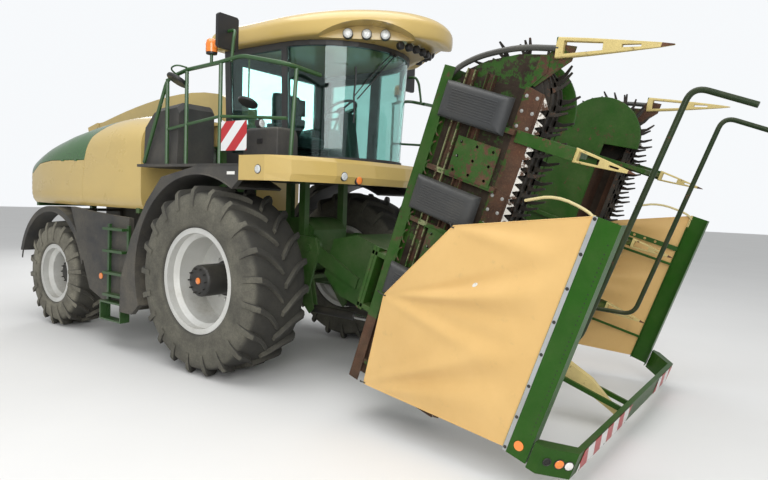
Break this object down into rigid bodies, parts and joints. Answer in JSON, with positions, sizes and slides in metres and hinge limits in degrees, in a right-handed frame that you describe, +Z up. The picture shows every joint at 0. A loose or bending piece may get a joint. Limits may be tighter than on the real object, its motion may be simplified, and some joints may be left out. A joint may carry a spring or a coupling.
{
  "type": "forage harvester",
  "caption": "Self-propelled forage harvester with a rear-swept discharge spout and a folded maize header behind a tarpaulin road guard.",
  "frame": {"origin": "on the ground, in the middle of the machine's length and width", "axes": "+X forward, +Y left, +Z up"},
  "size_m": [9.6268, 3.4, 3.8999],
  "materials": {
    "frame_green": "satin",
    "panel_beige": "gloss",
    "anthracite": "matte",
    "rim_silver": "satin",
    "tyre": "matte",
    "dark_steel": "matte",
    "bright_steel": "satin",
    "worn_floor": "matte",
    "glass": "gloss",
    "black_plastic": "matte",
    "lamp": "gloss",
    "grey_plastic": "matte",
    "tarp": "satin"
  },
  "bodies": {
    "chassis": {"main_frame": "frame_green", "drum_housing": "frame_green", "body_supports": "frame_green", "engine_block": "dark_steel", "front_axle": "frame_green", "rear_axle": "frame_green", "front_fenders": "anthracite", "rear_fenders": "anthracite", "deck": "anthracite", "storage_boxes": "anthracite", "front_panel": "panel_beige", "ladders": "frame_green", "rails_right": "frame_green", "rails_left": "frame_green", "hood_top": "frame_green", "hood_rear": "panel_beige", "cab_frame": "anthracite", "cab_glass": "glass", "cab_roof": "panel_beige", "cab_interior": "black_plastic", "lamps": "lamp", "mirrors": "black_plastic"},
    "cab_door": {"cab_door": "anthracite", "cab_door_glass": "glass"},
    "turret": {"spout_turret": "panel_beige"},
    "spout": {"spout_arch": "panel_beige"},
    "spout_flap": {"spout_flap": "panel_beige"},
    "feeder": {"feed_house": "frame_green", "header_carrier": "frame_green", "guard_bar": "frame_green"},
    "roller_upper": {"feed_roller_upper": "dark_steel"},
    "roller_lower": {"feed_roller_lower": "dark_steel"},
    "lift_barrels": {"lift_barrels": "dark_steel"},
    "lift_rods": {"lift_rods": "bright_steel"},
    "front_wheel_right": {"front_rim_right": "rim_silver", "front_tyre_right": "tyre"},
    "knuckle_right": {"knuckle_right": "frame_green"},
    "rear_wheel_right": {"rear_rim_right": "rim_silver", "rear_tyre_right": "tyre"},
    "side_flap_right": {"side_flap_right": "panel_beige"},
    "wing_right": {"wing_right": "worn_floor", "collector_right": "dark_steel", "dividers_right": "frame_green", "skids_right": "grey_plastic", "guard_side_right": "frame_green", "tarp_right": "tarp"},
    "front_wheel_left": {"front_rim_left": "rim_silver", "front_tyre_left": "tyre"},
    "knuckle_left": {"knuckle_left": "frame_green"},
    "rear_wheel_left": {"rear_rim_left": "rim_silver", "rear_tyre_left": "tyre"},
    "side_flap_left": {"side_flap_left": "panel_beige"},
    "wing_left": {"wing_left": "worn_floor", "collector_left": "dark_steel", "dividers_left": "frame_green", "skids_left": "grey_plastic", "guard_side_left": "frame_green", "tarp_left": "tarp"}
  },
  "joints": [
    {"name": "front_wheel_right_spin", "type": "hinge", "parent": "chassis", "child": "front_wheel_right", "pos_m": [-0.05289, -1.19, 1], "axis": [0, 1, 0], "continuous": true},
    {"name": "steer_right", "type": "hinge", "parent": "chassis", "child": "knuckle_right", "pos_m": [-3.45289, -0.8, 0.73], "axis": [0, 0, 1], "range_deg": [-35, 35]},
    {"name": "rear_wheel_right_spin", "type": "hinge", "parent": "knuckle_right", "child": "rear_wheel_right", "pos_m": [-3.45289, -1.09, 0.73], "axis": [0, 1, 0], "continuous": true},
    {"name": "side_flap_right_open", "type": "hinge", "parent": "chassis", "child": "side_flap_right", "pos_m": [-3.05289, -1.362, 2.292], "axis": [-1, 0, 0], "range_deg": [0, 70]},
    {"name": "wing_fold_right", "type": "hinge", "parent": "feeder", "child": "wing_right", "pos_m": [2.02623, -0.7, 1.05937], "axis": [0.9511, 0, -0.309], "range_deg": [0, 90]},
    {"name": "front_wheel_left_spin", "type": "hinge", "parent": "chassis", "child": "front_wheel_left", "pos_m": [-0.05289, 1.19, 1], "axis": [0, 1, 0], "continuous": true},
    {"name": "steer_left", "type": "hinge", "parent": "chassis", "child": "knuckle_left", "pos_m": [-3.45289, 0.8, 0.73], "axis": [0, 0, 1], "range_deg": [-35, 35]},
    {"name": "rear_wheel_left_spin", "type": "hinge", "parent": "knuckle_left", "child": "rear_wheel_left", "pos_m": [-3.45289, 1.09, 0.73], "axis": [0, 1, 0], "continuous": true},
    {"name": "side_flap_left_open", "type": "hinge", "parent": "chassis", "child": "side_flap_left", "pos_m": [-3.05289, 1.362, 2.292], "axis": [1, 0, 0], "range_deg": [0, 70]},
    {"name": "wing_fold_left", "type": "hinge", "parent": "feeder", "child": "wing_left", "pos_m": [2.02623, 0.7, 1.05937], "axis": [-0.9511, 0, 0.309], "range_deg": [0, 90]},
    {"name": "cab_door_open", "type": "hinge", "parent": "chassis", "child": "cab_door", "pos_m": [-0.38289, 0.862, 2.8], "axis": [0, 0, 1], "range_deg": [0, 75]},
    {"name": "spout_swivel", "type": "hinge", "parent": "chassis", "child": "turret", "pos_m": [-1.35289, 0, 2.84], "axis": [0, 0, 1], "range_deg": [-100, 100]},
    {"name": "spout_lift", "type": "hinge", "parent": "turret", "child": "spout", "pos_m": [-1.14289, 0, 3.01], "axis": [0, 1, 0], "range_deg": [0, 38]},
    {"name": "spout_flap_tilt", "type": "hinge", "parent": "spout", "child": "spout_flap", "pos_m": [-4.49889, 0, 2.986], "axis": [0, -1, 0], "range_deg": [0, 55]},
    {"name": "header_lift", "type": "hinge", "parent": "chassis", "child": "feeder", "pos_m": [0.54711, 0, 1.35], "axis": [0, -1, 0], "range_deg": [0, 22]},
    {"name": "roller_upper_spin", "type": "hinge", "parent": "feeder", "child": "roller_upper", "pos_m": [1.75209, 0, 1.13792], "axis": [0, 1, 0], "continuous": true},
    {"name": "roller_lower_spin", "type": "hinge", "parent": "feeder", "child": "roller_lower", "pos_m": [1.6563, 0, 0.8431], "axis": [0, 1, 0], "continuous": true},
    {"name": "lift_barrel_swing", "type": "hinge", "parent": "chassis", "child": "lift_barrels", "pos_m": [0.46711, 0, 0.64], "axis": [0, -1, 0], "range_deg": [-1, 19.37]},
    {"name": "lift_rod_slide", "type": "slide", "parent": "lift_barrels", "child": "lift_rods", "axis": [0.9999, 0, -0.0123], "range_m": [-0.002, 0.2656]}
  ],
  "couplings": [
    {"joint": "steer_left", "follows": "steer_right", "ratio": 1},
    {"joint": "lift_barrel_swing", "follows": "header_lift", "ratio": 0.83521},
    {"joint": "lift_rod_slide", "follows": "header_lift", "m_per_rad": 0.68653}
  ]
}
